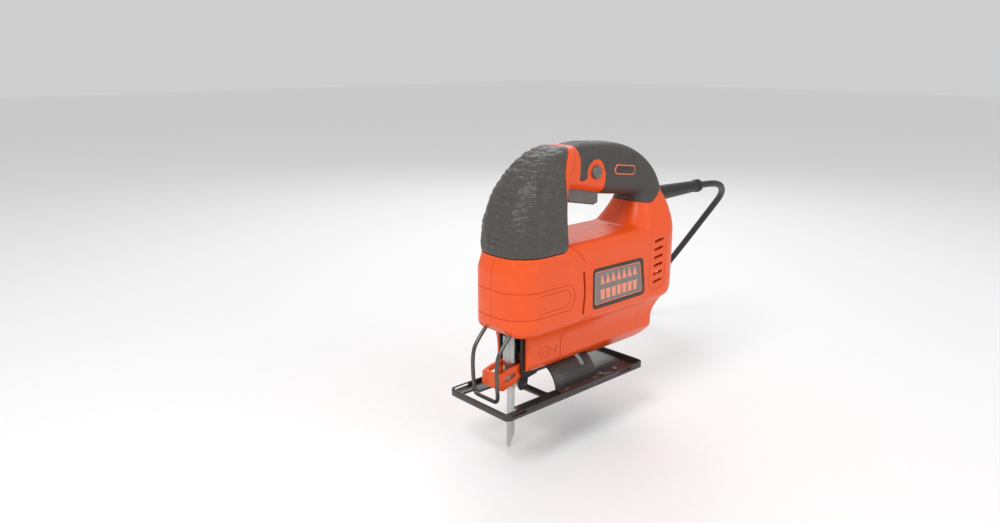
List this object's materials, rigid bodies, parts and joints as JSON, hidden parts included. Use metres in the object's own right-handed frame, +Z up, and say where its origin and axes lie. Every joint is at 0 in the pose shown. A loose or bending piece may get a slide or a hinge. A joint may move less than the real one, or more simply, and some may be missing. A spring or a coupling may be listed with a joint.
{
  "type": "corded jigsaw",
  "caption": "Corded jigsaw with a D handle, clamshell casing, gear and scotch yoke driving a T-shank blade, tilting shoe, wire finger guard and mains lead.",
  "frame": {"origin": "centre of the sole's outline, on the flat underside of the shoe", "axes": "+Z up, -X the way the saw cuts, -Y the operator's left"},
  "size_m": [0.3695, 0.2568, 0.2448],
  "materials": {
    "orange_plastic": "satin moulded orange",
    "grip_rubber": "matt dark grey overmould",
    "badge_dark": "satin dark plate",
    "screw_steel": "satin zinc",
    "wire_steel": "bright drawn wire",
    "black_plastic": "satin black",
    "bright_steel": "ground steel",
    "bronze": "sintered bronze",
    "die_cast": "as cast",
    "core_steel": "laminated steel",
    "copper": "enamelled wire",
    "carbon": "sintered carbon",
    "shoe_black": "satin black coated steel",
    "blade_steel": "ground steel",
    "grey_plastic": "satin grey",
    "lead_rubber": "matt black"
  },
  "bodies": {
    "housing": {"housing_left": "orange_plastic", "housing_right": "orange_plastic", "nose_grip_left": "grip_rubber", "nose_grip_right": "grip_rubber", "handle_grip_left": "grip_rubber", "handle_grip_right": "grip_rubber", "badge_plate_left": "badge_dark", "badge_plate_right": "badge_dark", "handle_badge": "badge_dark", "case_screws": "screw_steel", "wire_guard": "wire_steel", "roller_fork": "black_plastic", "roller_pin": "bright_steel", "dust_channel": "black_plastic", "plunger_bearing_upper": "bronze", "plunger_bearing_lower": "bronze", "gearbox_plate": "die_cast", "gear_axle": "bright_steel", "front_bearing": "bright_steel", "rear_bearing": "bright_steel", "stator_core": "core_steel", "stator_windings": "copper", "brush_holders": "black_plastic", "carbon_brushes": "carbon", "switch": "black_plastic", "trigger_spring": "bright_steel", "bevel_screw": "screw_steel", "bevel_nut": "screw_steel", "cord_guard": "lead_rubber", "cord_clamp": "black_plastic", "lead_inside": "lead_rubber", "cord": "lead_rubber", "cord_tail": "lead_rubber", "cord_coil": "lead_rubber", "cord_tie": "lead_rubber", "plug": "lead_rubber"},
    "shoe": {"shoe_plate": "shoe_black", "shoe_arch": "shoe_black", "shoe_rivets": "screw_steel"},
    "armature": {"armature_shaft": "core_steel", "armature_core": "core_steel", "armature_windings": "copper", "commutator": "copper", "cooling_fan": "black_plastic"},
    "gear": {"drive_gear": "bright_steel", "crank_pin": "bright_steel", "crank_roller": "bright_steel"},
    "plunger": {"plunger": "bright_steel", "yoke": "bright_steel", "blade_clamp": "bright_steel", "saw_blade": "blade_steel"},
    "lever": {"clamp_lever": "orange_plastic"},
    "trigger": {"trigger": "grey_plastic"},
    "lock": {"lock_button": "grey_plastic"},
    "roller": {"support_roller": "bright_steel"}
  },
  "joints": [
    {"name": "shoe_tilt", "type": "hinge", "parent": "housing", "child": "shoe", "pos_m": [0, 0, 0], "axis": [1, 0, 0], "range_deg": [-45, 45]},
    {"name": "gear_spin", "type": "hinge", "parent": "housing", "child": "gear", "pos_m": [-0.024, 0, 0.1065], "axis": [1, 0, 0], "range_deg": [0, 180]},
    {"name": "armature_spin", "type": "hinge", "parent": "housing", "child": "armature", "pos_m": [0.04, 0, 0.084], "axis": [1, 0, 0], "range_deg": [-820, 0]},
    {"name": "plunger_slide", "type": "slide", "parent": "housing", "child": "plunger", "axis": [0, 0, 1], "range_m": [0, 0.018]},
    {"name": "clamp_lever_pivot", "type": "hinge", "parent": "plunger", "child": "lever", "pos_m": [-0.042, 0, 0.024], "axis": [0, 1, 0], "range_deg": [0, 35], "stiffness_Nm_per_rad": 0.05, "springref_deg": -20.05},
    {"name": "trigger_slide", "type": "slide", "parent": "housing", "child": "trigger", "axis": [0, 0, 1], "range_m": [0, 0.0065], "stiffness_N_per_m": 400, "springref_m": -0.004, "deforming": ["trigger_spring"]},
    {"name": "lock_button_slide", "type": "slide", "parent": "housing", "child": "lock", "axis": [0, 1, 0], "range_m": [0, 0.0025], "stiffness_N_per_m": 300, "springref_m": -0.002},
    {"name": "support_roller_spin", "type": "hinge", "parent": "housing", "child": "roller", "pos_m": [-0.0369, 0, 0.009], "axis": [0, 1, 0], "continuous": true}
  ],
  "couplings": [
    {"joint": "armature_spin", "follows": "gear_spin", "ratio": -4.5556},
    {"joint": "plunger_slide", "follows": "gear_spin", "m_per_rad": 0.0057296}
  ]
}
